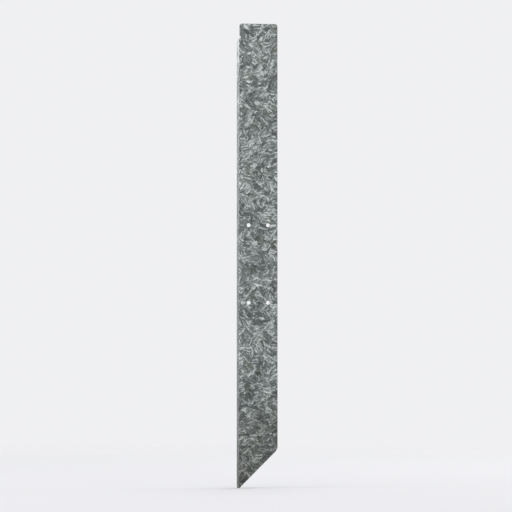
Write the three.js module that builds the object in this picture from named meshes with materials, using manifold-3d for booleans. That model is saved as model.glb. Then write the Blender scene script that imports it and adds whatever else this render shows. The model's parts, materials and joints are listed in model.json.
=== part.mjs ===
// Post anchor spike: one strip of hot-dip galvanised sheet steel, punched, folded once
// into an unequal angle, cut to a slanted point at the foot and left with a flat
// driving tab at the head. Millimetres, +Z up.
//
// Frame: the web faces -Y, the flange runs back to +Y along the left (-X) edge.
// The origin is the middle of the four screw holes on the web's back face, the face
// that lies against the post.

import * as THREE from 'three';
import { mergeVertices } from 'three/addons/utils/BufferGeometryUtils.js';
import Module from 'manifold-3d';

// ---- driving dimensions ----------------------------------------------------------

const LENGTH = 600;             // tip to driving edge
const WEB_WIDTH = 50;           // over the outside of the fold
const FLANGE_DEPTH = 25;        // over the outside of the fold
const SHEET = 1.5;              // steel thickness with its zinc
const FOLD_INSIDE_RADIUS = 0.1; // a sharp, coined fold

const SCREW_HOLE = 5;           // diameter
const HOLE_PITCH_ACROSS = 25;
const HOLE_PITCH_ALONG = 100;
const TOP_HOLES_BELOW_HEAD = 261;

const FLANGE_BELOW_HEAD = 19;   // bare height of the driving tab
const RELIEF_HEIGHT = 3;        // notch that lets the fold end cleanly
const RELIEF_CORNER_RADIUS = 0.3;
const TAB_SET_IN = 0.5;         // tab's left edge, in from the flange's outer face
const TAB_CORNER_RADIUS = 3;
const FLANGE_CORNER_RADIUS = 4;

const POINT_SLOPE = 1;          // rise over run of the slanted cut, 45 degrees
const SHOULDER_RADIUS = 9;      // where the slanted cut meets the long edge

const FOLD_FACETS = 12;         // facets in the quarter turn of the fold
const CUT_FACETS = 32;          // facets in each punched hole and rounded corner

// ---- derived places --------------------------------------------------------------

const HEAD_Z = TOP_HOLES_BELOW_HEAD + HOLE_PITCH_ALONG / 2;
const TIP_Z = HEAD_Z - LENGTH;
const FLANGE_TOP_Z = HEAD_Z - FLANGE_BELOW_HEAD;
const LEFT = -WEB_WIDTH / 2;
const RIGHT = WEB_WIDTH / 2;
const TAB_LEFT = LEFT + TAB_SET_IN;
const FRONT = -SHEET;
const BACK = 0;
const FLANGE_EDGE = FRONT + FLANGE_DEPTH;
const FOLD_OUTSIDE_RADIUS = FOLD_INSIDE_RADIUS + SHEET;
const OVERRUN = 5;              // how far an outline runs past the metal it trims

const QUARTER = Math.PI / 2;

// ---- outlines --------------------------------------------------------------------

// Plan of the folded angle, with its inside and outside fold radii.
function sectionShape() {
  const foldX = LEFT + FOLD_OUTSIDE_RADIUS;
  const foldY = FRONT + FOLD_OUTSIDE_RADIUS;
  const shape = new THREE.Shape();
  shape.moveTo(RIGHT, FRONT);
  shape.lineTo(RIGHT, BACK);
  shape.lineTo(foldX, BACK);
  shape.absarc(foldX, foldY, FOLD_INSIDE_RADIUS, -QUARTER, -2 * QUARTER, true);
  shape.lineTo(LEFT + SHEET, FLANGE_EDGE);
  shape.lineTo(LEFT, FLANGE_EDGE);
  shape.absarc(foldX, foldY, FOLD_OUTSIDE_RADIUS, 2 * QUARTER, 3 * QUARTER, false);
  shape.closePath();
  return shape;
}

// Front elevation: slanted point, rounded shoulder, long edge, driving tab and the
// relief notch, which is cut just past the fold, with the four screw holes.
function frontShape() {
  const pointAngle = Math.atan(POINT_SLOPE);
  const shoulderTurn = QUARTER - pointAngle;
  const shoulderZ = TIP_Z + WEB_WIDTH * POINT_SLOPE;
  const shoulderTangent = SHOULDER_RADIUS * Math.tan(shoulderTurn / 2);
  const tabCornerZ = HEAD_Z - TAB_CORNER_RADIUS;
  const foldX = LEFT + FOLD_OUTSIDE_RADIUS;
  const reliefTopZ = FLANGE_TOP_Z + RELIEF_HEIGHT;

  const shape = new THREE.Shape();
  shape.moveTo(LEFT - OVERRUN, TIP_Z);
  shape.lineTo(LEFT, TIP_Z);
  shape.absarc(RIGHT - SHOULDER_RADIUS, shoulderZ + shoulderTangent,
    SHOULDER_RADIUS, -shoulderTurn, 0, false);
  shape.absarc(RIGHT - TAB_CORNER_RADIUS, tabCornerZ,
    TAB_CORNER_RADIUS, 0, QUARTER, false);
  shape.absarc(TAB_LEFT + TAB_CORNER_RADIUS, tabCornerZ,
    TAB_CORNER_RADIUS, QUARTER, 2 * QUARTER, false);
  shape.lineTo(TAB_LEFT, reliefTopZ);
  shape.absarc(foldX, reliefTopZ - RELIEF_CORNER_RADIUS,
    RELIEF_CORNER_RADIUS, QUARTER, 0, true);
  shape.absarc(foldX, FLANGE_TOP_Z + RELIEF_CORNER_RADIUS,
    RELIEF_CORNER_RADIUS, 0, -QUARTER, true);
  shape.lineTo(LEFT - OVERRUN, FLANGE_TOP_Z);
  shape.closePath();

  for (const x of [-HOLE_PITCH_ACROSS / 2, HOLE_PITCH_ACROSS / 2]) {
    for (const z of [-HOLE_PITCH_ALONG / 2, HOLE_PITCH_ALONG / 2]) {
      shape.holes.push(new THREE.Path().absarc(x, z, SCREW_HOLE / 2, 0, 4 * QUARTER));
    }
  }
  return shape;
}

// Side elevation: the flange's square foot and head with rounded free corners, and
// the tab standing above it. Its first axis runs back (+Y), its second up (+Z).
function sideShape() {
  const cornerY = FLANGE_EDGE - FLANGE_CORNER_RADIUS;
  const shape = new THREE.Shape();
  shape.moveTo(FRONT - OVERRUN, TIP_Z);
  shape.lineTo(cornerY, TIP_Z);
  shape.absarc(cornerY, TIP_Z + FLANGE_CORNER_RADIUS,
    FLANGE_CORNER_RADIUS, -QUARTER, 0, false);
  shape.absarc(cornerY, FLANGE_TOP_Z - FLANGE_CORNER_RADIUS,
    FLANGE_CORNER_RADIUS, 0, QUARTER, false);
  shape.lineTo(BACK + FOLD_INSIDE_RADIUS, FLANGE_TOP_Z);
  shape.lineTo(BACK + FOLD_INSIDE_RADIUS, HEAD_Z + OVERRUN);
  shape.lineTo(FRONT - OVERRUN, HEAD_Z + OVERRUN);
  shape.closePath();
  return shape;
}

// ---- from outlines to solids -----------------------------------------------------

const manifold = await Module();
manifold.setup();

// three.js gives every arc two facets for each of its curve segments.
function extrude(shape, depth, facets) {
  return new THREE.ExtrudeGeometry(shape, {
    depth,
    bevelEnabled: false,
    curveSegments: facets / 2,
  });
}

function toSolid(geometry) {
  const bare = geometry.clone();
  bare.deleteAttribute('normal');
  bare.deleteAttribute('uv');
  const merged = mergeVertices(bare, 1e-5);
  const mesh = new manifold.Mesh({
    numProp: 3,
    vertProperties: new Float32Array(merged.attributes.position.array),
    triVerts: new Uint32Array(merged.index.array),
  });
  return new manifold.Manifold(mesh);
}

function toGeometry(solid) {
  const mesh = solid.getMesh();
  const geometry = new THREE.BufferGeometry();
  geometry.setAttribute('position', new THREE.BufferAttribute(mesh.vertProperties, 3));
  geometry.setIndex(new THREE.BufferAttribute(mesh.triVerts, 1));
  geometry.computeVertexNormals();
  return geometry;
}

// The folded angle, from the tip to the head of its flange.
function foldedAngle() {
  const bar = extrude(sectionShape(), FLANGE_TOP_Z - TIP_Z, FOLD_FACETS);
  bar.translate(0, 0, TIP_Z);
  return toSolid(bar);
}

// The web's flat, unfolded end, which stands above the flange and takes the hammer.
function drivingTab() {
  const tab = new THREE.BoxGeometry(RIGHT - TAB_LEFT, SHEET, FLANGE_BELOW_HEAD);
  tab.translate((RIGHT + TAB_LEFT) / 2, (FRONT + BACK) / 2, (FLANGE_TOP_Z + HEAD_Z) / 2);
  return toSolid(tab);
}

// The front outline, run from front to back so that it trims web and flange alike.
function frontTrim() {
  const block = extrude(frontShape(), FLANGE_DEPTH + 2 * OVERRUN, CUT_FACETS);
  block.rotateX(QUARTER);
  block.translate(0, FLANGE_EDGE + OVERRUN, 0);
  return toSolid(block);
}

// The side outline, run from left to right.
function sideTrim() {
  const block = extrude(sideShape(), WEB_WIDTH + 2 * OVERRUN, FOLD_FACETS);
  const back = new THREE.Vector3(0, 1, 0);
  const up = new THREE.Vector3(0, 0, 1);
  const right = new THREE.Vector3(1, 0, 0);
  block.applyMatrix4(new THREE.Matrix4().makeBasis(back, up, right));
  block.translate(LEFT - OVERRUN, 0, 0);
  return toSolid(block);
}

function angleSpike() {
  const zinc = new THREE.MeshStandardMaterial({
    color: new THREE.Color(0.32, 0.35, 0.345),
    roughness: 0.5,
    metalness: 0.85,
  });
  const solid = foldedAngle().add(drivingTab()).intersect(frontTrim()).intersect(sideTrim());
  const mesh = new THREE.Mesh(toGeometry(solid), zinc);
  mesh.name = 'angle_spike';
  return mesh;
}

const spike = new THREE.Group();
spike.name = 'post_anchor_spike';
spike.add(angleSpike());

export default spike;
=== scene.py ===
# %% [markdown]
# # Post anchor spike
# A post anchor spike is one strip of zinc-coated sheet steel. It is sheared to a slanted
# point, punched, and folded once along its length. There is nothing to assemble, so this
# lesson models a single piece and spends its effort on three things: the true shape of
# folded sheet, the crystals that zinc grows as it freezes, and the bare sheared rims.

# %% Load the frame
import json
import math

import bmesh
import bpy
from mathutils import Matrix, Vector


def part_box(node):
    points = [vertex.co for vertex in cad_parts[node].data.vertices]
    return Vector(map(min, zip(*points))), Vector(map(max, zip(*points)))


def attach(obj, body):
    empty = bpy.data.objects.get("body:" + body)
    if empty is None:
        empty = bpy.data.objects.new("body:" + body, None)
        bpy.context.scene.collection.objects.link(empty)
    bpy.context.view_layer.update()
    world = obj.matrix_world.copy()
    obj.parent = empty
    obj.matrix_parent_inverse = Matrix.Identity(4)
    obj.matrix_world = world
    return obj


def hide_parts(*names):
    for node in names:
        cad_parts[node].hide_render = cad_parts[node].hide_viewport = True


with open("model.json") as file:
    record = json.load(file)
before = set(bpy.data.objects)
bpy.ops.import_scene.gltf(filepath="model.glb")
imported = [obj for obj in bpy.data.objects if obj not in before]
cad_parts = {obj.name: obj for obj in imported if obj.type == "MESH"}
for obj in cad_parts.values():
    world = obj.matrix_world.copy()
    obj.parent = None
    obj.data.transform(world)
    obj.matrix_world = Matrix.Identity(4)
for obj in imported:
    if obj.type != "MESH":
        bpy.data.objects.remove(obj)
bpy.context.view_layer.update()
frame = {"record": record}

# %% [markdown]
# ## Sizes
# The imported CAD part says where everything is. The spike's outline comes from its box,
# and the sheet's thickness is the gap between the two faces that the record names as
# mounts: the one against the post and the one under the screw heads.

# %% Sizes from the frame
SPIKE = "angle_spike"
low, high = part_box(SPIKE)
mounts = {m["name"]: Vector(m["pos_m"]) for m in frame["record"]["mounts"]}

MM = 0.001
LEFT, RIGHT = low.x, high.x
FRONT, FLANGE_EDGE = low.y, high.y
TIP, HEAD = low.z, high.z
BACK = mounts["post_face"].y
SHEET = BACK - mounts["screw_head_face"].y
LENGTH = HEAD - TIP

print(f"spike {LENGTH:.3f} m long, web {RIGHT - LEFT:.3f} m, sheet {SHEET * 1000:.1f} mm")

# %% Sizes of the folded and punched details
FOLD_INSIDE = 0.1 * MM
FOLD_OUTSIDE = SHEET + FOLD_INSIDE
FOLD_X = LEFT + FOLD_OUTSIDE
FOLD_Y = FRONT + FOLD_OUTSIDE
FLANGE_TOP = HEAD - 19 * MM
RELIEF_TOP = FLANGE_TOP + 3 * MM
RELIEF_CORNER = 0.3 * MM
TAB_LEFT = LEFT + 0.5 * MM
TAB_CORNER = 3 * MM
FLANGE_CORNER = 4 * MM
SHOULDER_RADIUS = 9 * MM
SCREW_HOLE_RADIUS = 2.5 * MM
HOLE_PITCH_ACROSS = 25 * MM
HOLE_PITCH_ALONG = 100 * MM

print(f"fold of {FOLD_OUTSIDE * 1000:.1f} mm outside radius at x = {FOLD_X * 1000:.1f} mm")

# %% [markdown]
# ## Working by selection
# Every modelling step below is one that a hand could do: select some edges or faces,
# then run an operator on them. The helpers pick by place, because a script has no mouse.
# Everything is deselected first, so that an operator never catches a stray piece.


# %% Helpers that select by place
def only(piece):
    """Makes the piece the one selected and active object."""
    bpy.ops.object.select_all(action="DESELECT")
    piece.select_set(True)
    bpy.context.view_layer.objects.active = piece


def edit_select(piece, mode, test):
    """Enters edit mode and selects the vertices, edges or faces whose place passes."""
    only(piece)
    bpy.ops.object.mode_set(mode="EDIT")
    bpy.ops.mesh.select_all(action="DESELECT")
    bpy.ops.mesh.select_mode(type=mode)
    mesh = bmesh.from_edit_mesh(piece.data)
    rows = {"VERT": mesh.verts, "EDGE": mesh.edges, "FACE": mesh.faces}[mode]
    picked = 0
    for item in rows:
        points = [item.co] if mode == "VERT" else [v.co for v in item.verts]
        if all(test(p) for p in points):
            item.select_set(True)
            picked += 1
    bmesh.update_edit_mesh(piece.data)
    return picked


def leave_edit():
    bpy.ops.object.mode_set(mode="OBJECT")


TOUCHING = 1e-6


def near(a, b):
    return abs(a - b) < TOUCHING


def cut(piece, point, normal, remove_beyond=False):
    """Bisects the whole piece; what lies beyond the plane can be removed and capped."""
    edit_select(piece, "FACE", lambda p: True)
    bpy.ops.mesh.bisect(
        plane_co=point, plane_no=normal,
        use_fill=remove_beyond, clear_outer=remove_beyond)
    leave_edit()


def apply_modifier(piece, kind, **settings):
    only(piece)
    bpy.ops.object.modifier_add(type=kind)
    modifier = piece.modifiers[-1]
    for name, value in settings.items():
        setattr(modifier, name, value)
    bpy.ops.object.modifier_apply(modifier=modifier.name)


# %% [markdown]
# ## The folded skin
# Sheet metal could be modelled as a solid block with a trough cut in it, but then the
# fold would be a guess. A real press starts from a flat blank, and so does this model:
# a single skin without thickness, which is the outside face of the finished spike. The
# flat web is a plane, the fold is spun from the web's edge, and the flange is extruded
# from the fold. The thickness comes last, so it is even all the way round the bend.

# %% The flat web
bpy.ops.object.select_all(action="DESELECT")
bpy.ops.mesh.primitive_plane_add(
    size=1,
    location=((FOLD_X + RIGHT) / 2, FRONT, (TIP + HEAD) / 2),
    rotation=(math.pi / 2, 0, 0))
skin = bpy.context.object
skin.name = "zinc_coated_spike"
skin.scale = (RIGHT - FOLD_X, LENGTH, 1)
bpy.ops.object.transform_apply(location=True, rotation=True, scale=True)
print(f"web blank {skin.dimensions.x * 1000:.1f} by {skin.dimensions.z * 1000:.1f} mm")

# %% [markdown]
# The fold has to stop cleanly below the driving tab. The press tool punches a small
# relief notch there first. Three bisecting cuts outline the notch, and its one face is
# deleted. The web's long left edge is then free to fold below the notch and stays flat
# above it.

# %% The relief notch
RELIEF_END = FOLD_X + RELIEF_CORNER
cut(skin, (0, 0, FLANGE_TOP), (0, 0, 1))
cut(skin, (0, 0, RELIEF_TOP), (0, 0, 1))
cut(skin, (RELIEF_END, 0, 0), (1, 0, 0))
edit_select(
    skin, "FACE",
    lambda p: p.x < RELIEF_END + TOUCHING
    and FLANGE_TOP - TOUCHING < p.z < RELIEF_TOP + TOUCHING)
bpy.ops.mesh.delete(type="FACE")
leave_edit()
print(f"{len(skin.data.polygons)} faces after the notch")

# %% [markdown]
# The fold is a quarter turn about an axis that stands just behind the web, so a spin of
# the web's edge makes it. The flange is that same edge pulled straight back. Above the
# notch the edge isn't folded: it only moves out to the tab's own left side.

# %% The fold, the flange and the tab's last strip
FOLD_STEPS = 10
edit_select(skin, "EDGE", lambda p: near(p.x, FOLD_X) and p.z < FLANGE_TOP + TOUCHING)
bpy.ops.mesh.spin(
    steps=FOLD_STEPS, angle=math.pi / 2, center=(FOLD_X, FOLD_Y, 0), axis=(0, 0, 1))
bpy.ops.mesh.extrude_region_move(
    TRANSFORM_OT_translate={"value": (0, FLANGE_EDGE - FOLD_Y, 0)})
leave_edit()

edit_select(skin, "EDGE", lambda p: near(p.x, FOLD_X) and p.z > RELIEF_TOP - TOUCHING)
bpy.ops.mesh.extrude_region_move(
    TRANSFORM_OT_translate={"value": (TAB_LEFT - FOLD_X, 0, 0)})
leave_edit()
flange_face = min(v.co.x for v in skin.data.vertices)
flange_edge = max(v.co.y for v in skin.data.vertices)
print(f"flange face at x = {flange_face * 1000:.1f} mm, edge at y = {flange_edge * 1000:.1f} mm")

# %% [markdown]
# ## Rounded blank corners
# A blanking die has no sharp corners, so the free corners of the tab, the flange and the
# notch are arcs. Dissolving the construction lines first leaves each corner with just
# two edges, and a vertex bevel then turns it into a clean arc.

# %% Rounded corners
CORNER_SEGMENTS = 8
RELIEF_SEGMENTS = 4
MERGE = 0.01 * MM

edit_select(skin, "FACE", lambda p: True)
bpy.ops.mesh.remove_doubles(threshold=TOUCHING)
bpy.ops.mesh.dissolve_limited(angle_limit=math.radians(1))
leave_edit()


def round_corner(piece, radius, segments, test):
    picked = edit_select(piece, "VERT", test)
    bpy.ops.mesh.bevel(
        offset_type="OFFSET", offset=radius, segments=segments, profile=0.5,
        affect="VERTICES", clamp_overlap=False)
    bpy.ops.mesh.remove_doubles(threshold=MERGE, use_unselected=True)
    leave_edit()
    print(f"{picked} corners rounded to {radius * 1000:.1f} mm")


round_corner(
    skin, TAB_CORNER, CORNER_SEGMENTS,
    lambda p: near(p.z, HEAD) and (near(p.x, TAB_LEFT) or near(p.x, RIGHT)))
round_corner(
    skin, FLANGE_CORNER, CORNER_SEGMENTS,
    lambda p: near(p.y, FLANGE_EDGE) and (near(p.z, TIP) or near(p.z, FLANGE_TOP)))
round_corner(
    skin, RELIEF_CORNER, RELIEF_SEGMENTS,
    lambda p: near(p.x, RELIEF_END) and (near(p.z, FLANGE_TOP) or near(p.z, RELIEF_TOP)))

# %% [markdown]
# ## Thickness and the slanted point
# Solidify grows the sheet inwards from the outside face. The point is cut afterwards
# through the full thickness of web and fold together, as a shear blade does, and the
# shoulder where that cut meets the long edge is rounded.

# %% Thickness
apply_modifier(
    skin, "SOLIDIFY", thickness=SHEET, offset=-1, use_even_offset=True,
    use_quality_normals=True)
ys = [v.co.y for v in skin.data.vertices]
print(f"solid sheet from y = {min(ys) * 1000:.2f} to {max(ys) * 1000:.2f} mm")

# %% The slanted point and its shoulder
SHOULDER_SEGMENTS = 12
shoulder_setback = SHOULDER_RADIUS * math.tan(math.pi / 8)
cut(skin, (LEFT, 0, TIP), (1, 0, -1), remove_beyond=True)
shoulder_z = TIP + RIGHT - LEFT
edit_select(
    skin, "EDGE", lambda p: near(p.x, RIGHT) and abs(p.z - shoulder_z) < MERGE)
bpy.ops.mesh.bevel(
    offset_type="OFFSET", offset=shoulder_setback, segments=SHOULDER_SEGMENTS,
    profile=0.5, affect="EDGES", clamp_overlap=False)
leave_edit()
print(f"point cut at 45 degrees up to {(shoulder_z - TIP) * 1000:.1f} mm above the tip")

# %% [markdown]
# ## Screw holes
# The four holes are punched, so they are round and run straight through the web. A boolean
# with four cylinders is the digital punch. The cutters are joined into one object and removed
# once they have done their work.

# %% Screw holes
HOLE_SIDES = 40
punches = []
for x in (-HOLE_PITCH_ACROSS / 2, HOLE_PITCH_ACROSS / 2):
    for z in (-HOLE_PITCH_ALONG / 2, HOLE_PITCH_ALONG / 2):
        bpy.ops.mesh.primitive_cylinder_add(
            vertices=HOLE_SIDES, radius=SCREW_HOLE_RADIUS, depth=4 * SHEET,
            location=(x, (FRONT + BACK) / 2, z), rotation=(math.pi / 2, 0, 0))
        punches.append(bpy.context.object)
bpy.ops.object.select_all(action="DESELECT")
for punch in punches:
    punch.select_set(True)
bpy.context.view_layer.objects.active = punches[0]
bpy.ops.object.join()
punch = bpy.context.object
apply_modifier(skin, "BOOLEAN", operation="DIFFERENCE", solver="EXACT", object=punch)
bpy.data.objects.remove(punch)
print(f"{len(skin.data.polygons)} faces after punching")

# %% [markdown]
# ## Softened edges
# No sheared edge is perfectly keen: the blade drags the zinc over it and rounds it a
# little. Every edge that turns by more than a limit is bevelled, which leaves out the
# fold's facets, as they meet at a small angle. Edges that lie wholly in the lowest two
# millimetres stay keen, because the slanted cut leaves less room there than the rounding
# needs. Weighted normals keep the large flat faces perfectly flat in the light, while the
# narrow rounded strips turn smoothly between them.

# %% Softened edges
ZINC_EDGE = 0.3 * MM
SHARP = math.radians(35)
TIP_REACH = 2 * MM
EDGE_SEGMENTS = 3


def in_tip(p):
    return p.z < TIP + TIP_REACH


only(skin)
bpy.ops.object.shade_smooth_by_angle(angle=math.radians(60))
edit_select(skin, "EDGE", lambda p: False)
bpy.ops.mesh.edges_select_sharp(sharpness=SHARP)
mesh = bmesh.from_edit_mesh(skin.data)
to_soften = [e for e in mesh.edges if e.select and not all(in_tip(v.co) for v in e.verts)]
bpy.ops.mesh.select_all(action="DESELECT")
for edge in to_soften:
    edge.select_set(True)
bmesh.update_edit_mesh(skin.data)
bpy.ops.mesh.bevel(
    offset_type="OFFSET", offset=ZINC_EDGE, segments=EDGE_SEGMENTS, profile=0.5,
    affect="EDGES", clamp_overlap=False)
leave_edit()
apply_modifier(skin, "WEIGHTED_NORMAL", mode="FACE_AREA", weight=50, keep_sharp=True)
print(f"finished mesh has {len(skin.data.polygons)} faces")

# %% [markdown]
# ## Unrolling the sheet
# Zinc crystals grow over the bend as if it were flat. To let the pattern do the same,
# every face gets a place on the unrolled sheet: the distance round the section one way
# and the height the other way, both in metres. The inside of the angle takes its pattern
# from a far-off stretch of the same endless sheet, so the two sides never match. A second
# map serves the rims: the distance along the rim, and how deep into the sheet a point is.

# %% Where a point lies on the sheet
FOLD_ARC = FOLD_OUTSIDE * math.pi / 2
INSIDE_SHIFT = 2.0


def along_section(p):
    """Distance round the outside of the section, from the start of the fold."""
    if p.x >= FOLD_X:
        return p.x - FOLD_X
    if p.y >= FOLD_Y:
        return -FOLD_ARC - (p.y - FOLD_Y)
    return -FOLD_OUTSIDE * math.atan2(FOLD_X - p.x, FOLD_Y - p.y)


# %% Two UV maps
def map_sheet(piece):
    """Writes both maps; returns how many faces look into the angle."""
    sheet_map = piece.data.uv_layers.new(name="unrolled_sheet")
    rim_map = piece.data.uv_layers.new(name="sheared_rim")
    inside = 0
    for face in piece.data.polygons:
        n = face.normal
        on_web = face.center.y < FOLD_Y
        facing_in = n.y > 0.5 if on_web else n.x > 0.5
        inside += facing_in
        across = n.x if on_web else -n.y
        along_rim = n.cross(Vector((0, 1, 0) if on_web else (1, 0, 0)))
        for loop in face.loop_indices:
            p = piece.data.vertices[piece.data.loops[loop].vertex_index].co
            depth = p.y - FRONT if on_web else p.x - LEFT
            s = along_section(p) + depth * across
            t = p.z + depth * n.z + (INSIDE_SHIFT if facing_in else 0)
            sheet_map.data[loop].uv = (s, t)
            rim_map.data[loop].uv = (p.dot(along_rim), depth / SHEET)
    return inside


print(f"{map_sheet(skin)} faces lie on the inside of the angle")
skin.data.update()

# %% [markdown]
# ## Small helpers for node trees
# The zinc is built from a few dozen shader nodes. These helpers add a node with its
# settings in one call and join sockets, so that the cells below read as a recipe.


# %% Node helpers
def node(tree, kind, **settings):
    made = tree.nodes.new(kind)
    for name, value in settings.items():
        setattr(made, name, value)
    return made


def feed(tree, socket, value):
    """Joins a socket to another socket, or sets its own value."""
    if isinstance(value, bpy.types.NodeSocket):
        tree.links.new(value, socket)
    else:
        socket.default_value = value


def maths(tree, operation, a, b=0.0, c=0.0, clamp=False):
    made = node(tree, "ShaderNodeMath", operation=operation, use_clamp=clamp)
    for socket, value in zip(made.inputs, (a, b, c)):
        feed(tree, socket, value)
    return made.outputs[0]


def vector_maths(tree, operation, a, b):
    made = node(tree, "ShaderNodeVectorMath", operation=operation)
    feed(tree, made.inputs[0], a)
    feed(tree, made.inputs[1], b)
    return made.outputs[0]


def vector_scale(tree, vector, factor):
    made = node(tree, "ShaderNodeVectorMath", operation="SCALE")
    feed(tree, made.inputs[0], vector)
    feed(tree, made.inputs["Scale"], factor)
    return made.outputs[0]


def ramp(tree, value, low, high, to_low=0.0, to_high=1.0):
    """Smoothly maps low..high to to_low..to_high."""
    made = node(tree, "ShaderNodeMapRange", interpolation_type="SMOOTHSTEP")
    for name, v in zip(
            ("Value", "From Min", "From Max", "To Min", "To Max"),
            (value, low, high, to_low, to_high)):
        feed(tree, made.inputs[name], v)
    return made.outputs["Result"]


def mix_colour(tree, factor, a, b, blend="MIX"):
    made = node(tree, "ShaderNodeMix", data_type="RGBA", blend_type=blend)
    feed(tree, made.inputs[0], factor)
    feed(tree, made.inputs[6], a)
    feed(tree, made.inputs[7], b)
    return made.outputs[2]


def noise(tree, vector, scale, detail=2.0, roughness=0.5, distortion=0.0):
    made = node(tree, "ShaderNodeTexNoise", noise_dimensions="2D")
    feed(tree, made.inputs["Vector"], vector)
    feed(tree, made.inputs["Scale"], scale)
    feed(tree, made.inputs["Detail"], detail)
    feed(tree, made.inputs["Roughness"], roughness)
    feed(tree, made.inputs["Distortion"], distortion)
    return made


def new_group(name, inputs, outputs):
    """An empty node group with named sockets; each input has a default."""
    tree = bpy.data.node_groups.new(name, "ShaderNodeTree")
    for label, kind, default in inputs:
        socket = tree.interface.new_socket(label, in_out="INPUT", socket_type=kind)
        if default is not None:
            socket.default_value = default
    for label, kind in outputs:
        tree.interface.new_socket(label, in_out="OUTPUT", socket_type=kind)
    return tree, node(tree, "NodeGroupInput"), node(tree, "NodeGroupOutput")


def place_group(tree, group, **values):
    made = node(tree, "ShaderNodeGroup", node_tree=group)
    for name, value in values.items():
        feed(tree, made.inputs[name.replace("_", " ")], value)
    return made


NUMBER, VECTOR = "NodeSocketFloat", "NodeSocketVector"

# %% [markdown]
# ## Crystals of frozen zinc
# Hot zinc freezes into flat crystals called spangle. Each one starts at a seed, and its
# arms grow in a few fixed directions, so it looks like a patch of parallel feathers that
# ends where the next patch begins. In nodes, a Voronoi texture gives the patches and a
# random colour for each. One part of that colour turns the coordinates of the patch.
# Along the turned axis, a stretched noise draws soft feathers and a stretched Voronoi
# draws hard-edged shards. Some shards also get a painted highlight along one of their long
# sides that fades across the shard, and those thin painted glints are what the eye picks out
# first. Another part of the colour tips the patch a little, like a loose tile, so that it
# flashes when the viewer moves. The whole pattern is pushed about by a soft noise, because
# real borders are ragged.

# %% The spangle group: ragged patches
spangle, entry, result = new_group(
    "zinc_spangle",
    [("Sheet", VECTOR, None), ("Crystal Size", NUMBER, 8 * MM),
     ("Feather Width", NUMBER, 1.4 * MM), ("Feather Length", NUMBER, 8 * MM),
     ("Raggedness", NUMBER, 0.35), ("Tilt", NUMBER, 0.1), ("Seed", NUMBER, 0.0)],
    [("Feathers", NUMBER), ("Shards", NUMBER), ("Glints", NUMBER), ("Height", NUMBER)])
SEED_STEP = (0.37, 0.61, 0)
RAGGED_FINENESS = 1.7
seed_shift = vector_scale(spangle, SEED_STEP, entry.outputs["Seed"])
shifted = vector_maths(spangle, "ADD", entry.outputs["Sheet"], seed_shift)

crystal_size = entry.outputs["Crystal Size"]
frequency = maths(spangle, "DIVIDE", 1.0, crystal_size)
ragged_scale = maths(spangle, "MULTIPLY", frequency, RAGGED_FINENESS)
ragged = noise(spangle, shifted, ragged_scale, detail=3)
push = vector_maths(spangle, "SUBTRACT", ragged.outputs["Color"], (0.5, 0.5, 0.5))
push_size = maths(spangle, "MULTIPLY", crystal_size, entry.outputs["Raggedness"])
wobbly = vector_maths(spangle, "ADD", shifted, vector_scale(spangle, push, push_size))


def voronoi(vector, scale):
    made = node(spangle, "ShaderNodeTexVoronoi", voronoi_dimensions="2D", feature="F1")
    feed(spangle, made.inputs["Vector"], vector)
    feed(spangle, made.inputs["Scale"], scale)
    return made


def split(colour):
    made = node(spangle, "ShaderNodeSeparateColor")
    feed(spangle, made.inputs[0], colour)
    return made.outputs


patches = voronoi(wobbly, frequency)
chance = split(patches.outputs["Color"])

# %% The spangle group: feathers and shards
SHARD_SCALE = 0.6
LEAST_TURN, TURN_RANGE = math.radians(18), math.radians(144)
turn = maths(spangle, "MULTIPLY_ADD", chance[0], TURN_RANGE, LEAST_TURN)
turned = node(spangle, "ShaderNodeVectorRotate", rotation_type="Z_AXIS")
feed(spangle, turned.inputs["Vector"], wobbly)
feed(spangle, turned.inputs["Angle"], turn)
comb = node(spangle, "ShaderNodeCombineXYZ")
for axis, name in (("X", "Feather Width"), ("Y", "Feather Length")):
    feed(spangle, comb.inputs[axis], maths(spangle, "DIVIDE", 1.0, entry.outputs[name]))
combed = vector_maths(spangle, "MULTIPLY", turned.outputs[0], comb.outputs[0])

feathers = noise(spangle, combed, 1.0, detail=2, roughness=0.6, distortion=0.3)
feed(spangle, result.inputs["Feathers"], feathers.outputs["Fac"])
shards = voronoi(combed, SHARD_SCALE)
shard_chance = split(shards.outputs["Color"])
feed(spangle, result.inputs["Shards"], shard_chance[0])

# %% The spangle group: painted glints
# Painted highlight: some shards get a bright stripe along one long side, fading across the
# shard.
GLINT_SLOPE = 1.3
DIM_SIDE = 0.35
UNLIT_CHANCE, LIT_CHANCE = 0.25, 0.75
across_shard = node(spangle, "ShaderNodeSeparateXYZ")
from_middle = vector_maths(spangle, "SUBTRACT", combed, shards.outputs["Position"])
feed(spangle, across_shard.inputs[0], from_middle)
painted_bright_side = maths(
    spangle, "MULTIPLY_ADD", across_shard.outputs["X"], GLINT_SLOPE * SHARD_SCALE,
    DIM_SIDE, clamp=True)
lit = ramp(spangle, shard_chance[1], UNLIT_CHANCE, LIT_CHANCE)
feed(spangle, result.inputs["Glints"], maths(spangle, "MULTIPLY", painted_bright_side, lit))

# %% The spangle group: tipped crystals
from_seed = vector_maths(spangle, "SUBTRACT", wobbly, patches.outputs["Position"])
direction = vector_maths(spangle, "SUBTRACT", patches.outputs["Color"], (0.5, 0.5, 0.5))
tip_up = node(spangle, "ShaderNodeVectorMath", operation="DOT_PRODUCT")
feed(spangle, tip_up.inputs[0], from_seed)
feed(spangle, tip_up.inputs[1], direction)
feed(
    spangle, result.inputs["Height"],
    maths(spangle, "MULTIPLY", tip_up.outputs["Value"], entry.outputs["Tilt"]))
print(f"spangle group has {len(spangle.nodes)} nodes")
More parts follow.
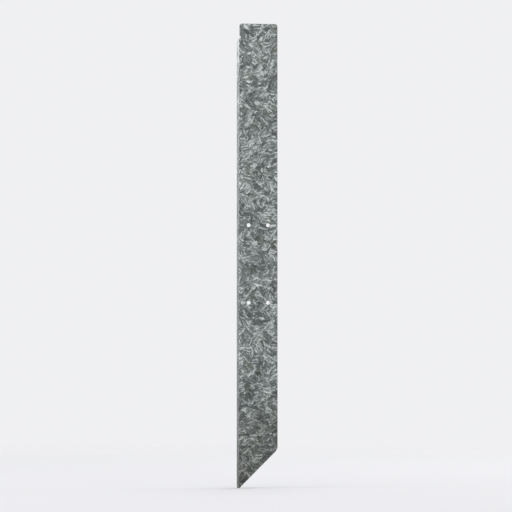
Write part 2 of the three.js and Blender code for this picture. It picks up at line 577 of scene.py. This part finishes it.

# %% [markdown]
# ## The galvanised finish
# Three layers of crystals lie over each other: broad patches, mid-sized crystals and fine
# feathers. Their sum, painted glints included, runs through a colour ramp from the dull
# blue-green grey of weathered zinc to pale feather tips. A slow noise adds the faint olive
# stains that zinc takes on. The colour is darkened and warmed towards the foot as painted
# shade for the light that falls off near the floor. The same sum roughens the dark parts
# and, with the tipped crystals, gives the bump.

# %% Three layers of crystals
zinc = bpy.data.materials.new("galvanised_zinc")
zinc.use_nodes = True
tree = zinc.node_tree
shader = tree.nodes["Principled BSDF"]
sheet_place = node(tree, "ShaderNodeUVMap", uv_map="unrolled_sheet").outputs[0]


def crystals(size, feather_width, feather_length, tilt, seed):
    return place_group(
        tree, spangle, Sheet=sheet_place, Crystal_Size=size, Feather_Width=feather_width,
        Feather_Length=feather_length, Tilt=tilt, Seed=seed).outputs


broad = crystals(
    size=13 * MM, feather_width=2.3 * MM, feather_length=7 * MM, tilt=0.1, seed=2)
middle = crystals(
    size=6 * MM, feather_width=1.3 * MM, feather_length=4.5 * MM, tilt=0.06, seed=6)
fine = crystals(
    size=3.2 * MM, feather_width=0.8 * MM, feather_length=3 * MM, tilt=0.0, seed=9)


def weighted_sum(*terms):
    """Adds each value's distance from one half, times its weight, to one half."""
    total = 0.5
    for value, weight in terms:
        part = maths(tree, "MULTIPLY_ADD", value, weight, -0.5 * weight)
        total = maths(tree, "ADD", part, total)
    return total


BASE_BRIGHTNESS = 0.225
# The glint terms put painted highlights into the zinc's colour; the other terms are the
# crystals' own tone.
brightness = weighted_sum(
    (broad["Feathers"], 0.2), (middle["Feathers"], 0.25), (fine["Feathers"], 0.3),
    (broad["Shards"], 0.32), (middle["Shards"], 0.2),
    (broad["Glints"], 0.4), (middle["Glints"], 0.34))
brightness = maths(tree, "ADD", brightness, BASE_BRIGHTNESS)
print(f"{len(tree.nodes)} nodes so far in the zinc")

# %% Colour, gloss and relief of the zinc
DARK, MIDDLE, LIGHT = 0.2, 0.5, 0.8
HOLLOW_GREY = (0.11, 0.125, 0.12, 1)
ZINC_GREY = (0.235, 0.265, 0.26, 1)
FEATHER_GREY = (0.62, 0.67, 0.66, 1)
colours = node(tree, "ShaderNodeValToRGB")
feed(tree, colours.inputs[0], brightness)
stops = colours.color_ramp.elements
stops[0].position = DARK
stops[0].color = HOLLOW_GREY
stops[1].position = LIGHT
stops[1].color = FEATHER_GREY
stops.new(MIDDLE).color = ZINC_GREY

OLIVE = (0.99, 1.01, 0.90, 1)
STAIN_SIZE = 16 * MM
STAIN_START, STAIN_FULL = 0.5, 0.66
HOLLOW_FULL, HOLLOW_END = 0.4, 0.65
stain_noise = noise(tree, sheet_place, 1 / STAIN_SIZE, detail=3).outputs["Fac"]
in_hollows = ramp(tree, brightness, HOLLOW_FULL, HOLLOW_END, 1, 0)
stained_here = ramp(tree, stain_noise, STAIN_START, STAIN_FULL)
stain = maths(tree, "MULTIPLY", stained_here, in_hollows)
stained = mix_colour(tree, stain, colours.outputs[0], OLIVE, blend="MULTIPLY")

# Painted shade: the colour darkens towards the foot, standing in for the light that falls off
# near the floor.
FOOT_SHADE_HEIGHT = 170 * MM
FOOT_SHADE_TINT = (0.71, 0.68, 0.64, 1)
NO_TINT = (1, 1, 1, 1)
ROUGH_HOLLOW, SMOOTH_FEATHER = 0.32, 0.2
height = node(tree, "ShaderNodeSeparateXYZ")
feed(tree, height.inputs[0], node(tree, "ShaderNodeTexCoord").outputs["Object"])
above_foot_shade = ramp(tree, height.outputs["Z"], TIP, TIP + FOOT_SHADE_HEIGHT)
painted_foot_shade = mix_colour(tree, above_foot_shade, FOOT_SHADE_TINT, NO_TINT)
feed(tree, shader.inputs["Base Color"], mix_colour(tree, 1.0, stained, painted_foot_shade, "MULTIPLY"))
shader.inputs["Metallic"].default_value = 0.75
feed(
    tree, shader.inputs["Roughness"],
    ramp(tree, brightness, DARK, LIGHT, ROUGH_HOLLOW, SMOOTH_FEATHER))

FEATHER_RELIEF = 0.07 * MM
tipped = maths(tree, "ADD", broad["Height"], middle["Height"])
relief = node(tree, "ShaderNodeBump")
relief.inputs["Strength"].default_value = 1.0
relief.inputs["Distance"].default_value = 1.0
heights = maths(tree, "MULTIPLY_ADD", brightness, FEATHER_RELIEF, tipped)
feed(tree, relief.inputs["Height"], heights)
feed(tree, shader.inputs["Normal"], relief.outputs[0])

# %% [markdown]
# ## The sheared rims
# The sheet was coated before it was cut, so its rims are steel with only a smear of zinc.
# A shear blade leaves two bands on a rim: it first slices in and burnishes the steel, and
# then the rest tears off and stays grey and rough. Both bands carry fine scratches that
# run through the thickness. The rim map gives the depth for the bands, and a noise that is
# fine along the rim and long through it gives the scratches.

# %% The sheared steel
sheared = bpy.data.materials.new("sheared_steel")
sheared.use_nodes = True
rim_tree = sheared.node_tree
rim_shader = rim_tree.nodes["Principled BSDF"]
SCRATCH_SPACING = 0.25 * MM
WAVER_SPACING = 6 * MM
BURNISHED_SHARE, WAVER_SHARE, LINE_BLUR = 0.25, 0.3, 0.04
BURNISHED_DARK, BURNISHED_PALE = (0.24, 0.26, 0.26, 1), (0.46, 0.48, 0.48, 1)
TORN_DARK, TORN_PALE = (0.12, 0.13, 0.13, 1), (0.33, 0.34, 0.34, 1)
BURNISHED_ROUGHNESS, TORN_ROUGHNESS = 0.28, 0.5
SCRATCH_RELIEF = 0.03 * MM
rim_place = node(rim_tree, "ShaderNodeUVMap", uv_map="sheared_rim").outputs[0]
scratch_place = vector_maths(rim_tree, "MULTIPLY", rim_place, (1 / SCRATCH_SPACING, 0.8, 0))
scratches = noise(rim_tree, scratch_place, 1.0, detail=4, roughness=0.65).outputs["Fac"]
slow_place = vector_maths(rim_tree, "MULTIPLY", rim_place, (1 / WAVER_SPACING, 0.5, 0))
waver = noise(rim_tree, slow_place, 1.0, detail=2).outputs["Fac"]

depth = node(rim_tree, "ShaderNodeSeparateXYZ")
feed(rim_tree, depth.inputs[0], rim_place)
tear_line = maths(rim_tree, "MULTIPLY_ADD", waver, WAVER_SHARE, BURNISHED_SHARE)
past_line = maths(rim_tree, "SUBTRACT", depth.outputs["Y"], tear_line)
torn = ramp(rim_tree, past_line, -LINE_BLUR, LINE_BLUR)
burnished = mix_colour(rim_tree, scratches, BURNISHED_DARK, BURNISHED_PALE)
rough = mix_colour(rim_tree, scratches, TORN_DARK, TORN_PALE)
feed(rim_tree, rim_shader.inputs["Base Color"], mix_colour(rim_tree, torn, burnished, rough))
rim_shader.inputs["Metallic"].default_value = 0.8
feed(
    rim_tree, rim_shader.inputs["Roughness"],
    ramp(rim_tree, torn, 0, 1, BURNISHED_ROUGHNESS, TORN_ROUGHNESS))
rim_relief = node(rim_tree, "ShaderNodeBump")
rim_relief.inputs["Strength"].default_value = 1.0
rim_relief.inputs["Distance"].default_value = SCRATCH_RELIEF
feed(rim_tree, rim_relief.inputs["Height"], scratches)
feed(rim_tree, rim_shader.inputs["Normal"], rim_relief.outputs[0])

# %% [markdown]
# A face belongs to the rims if it doesn't look along the sheet's thickness. In the fold the
# thickness turns, so there only faces that look up or down are rims.

# %% Which faces are rims
SKIN_LIMIT = 0.8


def is_rim(face):
    """True where a face looks out of the sheet's side and not along its thickness."""
    n, c = face.normal, face.calc_center_median()
    if c.x < FOLD_X and c.y < FOLD_Y and c.z < FLANGE_TOP:
        return abs(n.z) > 1 - SKIN_LIMIT
    through = n.y if c.y < FOLD_Y else n.x
    return abs(through) < SKIN_LIMIT


skin.data.materials.clear()
skin.data.materials.append(zinc)
skin.data.materials.append(sheared)
edit_select(skin, "FACE", lambda p: False)
mesh = bmesh.from_edit_mesh(skin.data)
for face in mesh.faces:
    face.select_set(is_rim(face))
rim_count = sum(face.select for face in mesh.faces)
bmesh.update_edit_mesh(skin.data)
skin.active_material_index = 1
bpy.ops.object.material_slot_assign()
leave_edit()
print(f"{rim_count} faces are sheared rims")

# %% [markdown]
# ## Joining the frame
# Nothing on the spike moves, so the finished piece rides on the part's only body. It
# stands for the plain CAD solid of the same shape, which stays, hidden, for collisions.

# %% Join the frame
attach(skin, "root")
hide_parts(SPIKE)

# %% [markdown]
# ## Floor
# The spike stands on its point on a sheet of pale paper. The paper fades out far from the
# spike by its alpha, so it melts into the air around it without a horizon line. It is
# a darker paper in reflections, or the metal would take too much light from below.

# %% Floor
FLOOR_RADIUS = 3.0
FADE_START, FADE_END = 0.5, 2.9
FLOOR_GAP = 0.05 * MM
PAPER_IN_METAL, PAPER_SEEN = (0.30, 0.30, 0.31, 1), (0.88, 0.88, 0.895, 1)
bpy.ops.object.select_all(action="DESELECT")
bpy.ops.mesh.primitive_circle_add(
    vertices=128, radius=FLOOR_RADIUS, fill_type="NGON", location=(0, 0, TIP - FLOOR_GAP))
floor = bpy.context.object
floor.name = "studio_floor"
bpy.ops.object.transform_apply(location=True, rotation=True, scale=True)

paper = bpy.data.materials.new("pale_paper")
paper.use_nodes = True
paper_tree = paper.node_tree
paper_shader = paper_tree.nodes["Principled BSDF"]
paper_seen = node(paper_tree, "ShaderNodeLightPath").outputs["Is Camera Ray"]
paper_colour = mix_colour(paper_tree, paper_seen, PAPER_IN_METAL, PAPER_SEEN)
feed(paper_tree, paper_shader.inputs["Base Color"], paper_colour)
paper_place = node(paper_tree, "ShaderNodeTexCoord").outputs["Object"]
flat_place = vector_maths(paper_tree, "MULTIPLY", paper_place, (1, 1, 0))
from_foot = node(paper_tree, "ShaderNodeVectorMath", operation="LENGTH")
feed(paper_tree, from_foot.inputs[0], flat_place)
fade = ramp(paper_tree, from_foot.outputs["Value"], FADE_START, FADE_END, 1, 0)
feed(paper_tree, paper_shader.inputs["Alpha"], fade)
paper_shader.inputs["Roughness"].default_value = 0.9
floor.data.materials.append(paper)
print(f"floor {2 * FLOOR_RADIUS:.0f} m across, just under the tip")

# %% [markdown]
# ## Light
# Bare metal shows what stands around it more than it shows itself. The room is therefore
# built for reflections: a pale glow that is dim below the horizon and bright above it, a
# wide softbox in front for the web, one at the left for the flange, one overhead, and a
# small one behind that the flange mirrors only near its top. Two more, at the right and
# far behind, serve the inside of the angle. What the camera sees directly is an even pale
# grey, whatever the glow does.

# %% Room
AIR_COLOUR = (0.87, 0.872, 0.89, 1)
GLOW_BELOW, GLOW_ABOVE = 0.24, 0.84
GLOW_START, GLOW_FULL = -0.12, 0.10
world = bpy.data.worlds.new("studio")
bpy.context.scene.world = world
world.use_nodes = True
air = world.node_tree
background = air.nodes["Background"]
seen = node(air, "ShaderNodeLightPath").outputs["Is Camera Ray"]
sky = node(air, "ShaderNodeSeparateXYZ")
feed(air, sky.inputs[0], node(air, "ShaderNodeTexCoord").outputs["Generated"])
glow = ramp(air, sky.outputs["Z"], GLOW_START, GLOW_FULL, GLOW_BELOW, GLOW_ABOVE)
strength = node(air, "ShaderNodeMix", data_type="FLOAT")
feed(air, strength.inputs[0], seen)
feed(air, strength.inputs[2], glow)
feed(air, strength.inputs[3], 1.0)
feed(air, background.inputs["Strength"], strength.outputs[0])
background.inputs["Color"].default_value = AIR_COLOUR
bpy.context.scene.view_settings.view_transform = "Standard"


# %% Softboxes
def softbox(name, place, target, width, height, power):
    bpy.ops.object.light_add(type="AREA", location=place)
    lamp = bpy.context.object
    lamp.name = name
    lamp.data.shape = "RECTANGLE"
    lamp.data.size = width
    lamp.data.size_y = height
    lamp.data.energy = power
    aim = Vector(target) - Vector(place)
    lamp.rotation_euler = aim.to_track_quat("-Z", "Y").to_euler()
    print(f"{name}: {width:.1f} by {height:.1f} m, {power:g} W")


middle_of_spike = (0, 0, (TIP + HEAD) / 2)
softbox("overhead_softbox", (0, 0.3, 3.2), (0, 0.3, 0), 4.0, 4.0, 12)
softbox("left_softbox", (-2.6, -0.6, 0.9), middle_of_spike, 1.2, 2.0, 16)
softbox("front_softbox", (0.7, -5.5, 1.0), middle_of_spike, 4.0, 2.8, 14)
softbox("back_softbox", (-1.3, 6.0, 1.36), middle_of_spike, 1.6, 1.0, 6.5)
softbox("right_softbox", (2.6, 0.9, 0.9), middle_of_spike, 1.2, 2.0, 16)
softbox("far_softbox", (1.8, 5.2, 1.0), middle_of_spike, 3.0, 2.8, 26)

# %% [markdown]
# ## Camera
# A long lens from a few metres away keeps the tall, thin spike free of perspective. The
# camera stands a little to the left, which turns the outside of the flange into view as
# a narrow strip, and it is close to the floor and looks up slightly at the middle of the
# spike.

# %% Camera
CAMERA_AZIMUTH = math.radians(-7.4)
CAMERA_DISTANCE = 4.0
CAMERA_HEIGHT = 0.146
AIM_HEIGHT = 0.2992
AIM_SIDEWAYS = -0.00304
LENS = 218.1
SENSOR = 36

right_hand = Vector((math.cos(CAMERA_AZIMUTH), math.sin(CAMERA_AZIMUTH), 0))
backwards = Vector((math.sin(CAMERA_AZIMUTH), -math.cos(CAMERA_AZIMUTH), 0))
aim_point = Vector((0, FRONT, TIP + AIM_HEIGHT)) + right_hand * AIM_SIDEWAYS
camera_place = aim_point + backwards * CAMERA_DISTANCE
camera_place.z = TIP + CAMERA_HEIGHT
bpy.ops.object.camera_add(location=camera_place)
camera = bpy.context.object
camera.data.lens = LENS
camera.data.sensor_width = SENSOR
camera.rotation_euler = (aim_point - camera_place).to_track_quat("-Z", "Y").to_euler()
bpy.context.scene.camera = camera
print(f"camera {CAMERA_DISTANCE:.1f} m away with a {LENS:.0f} mm lens")
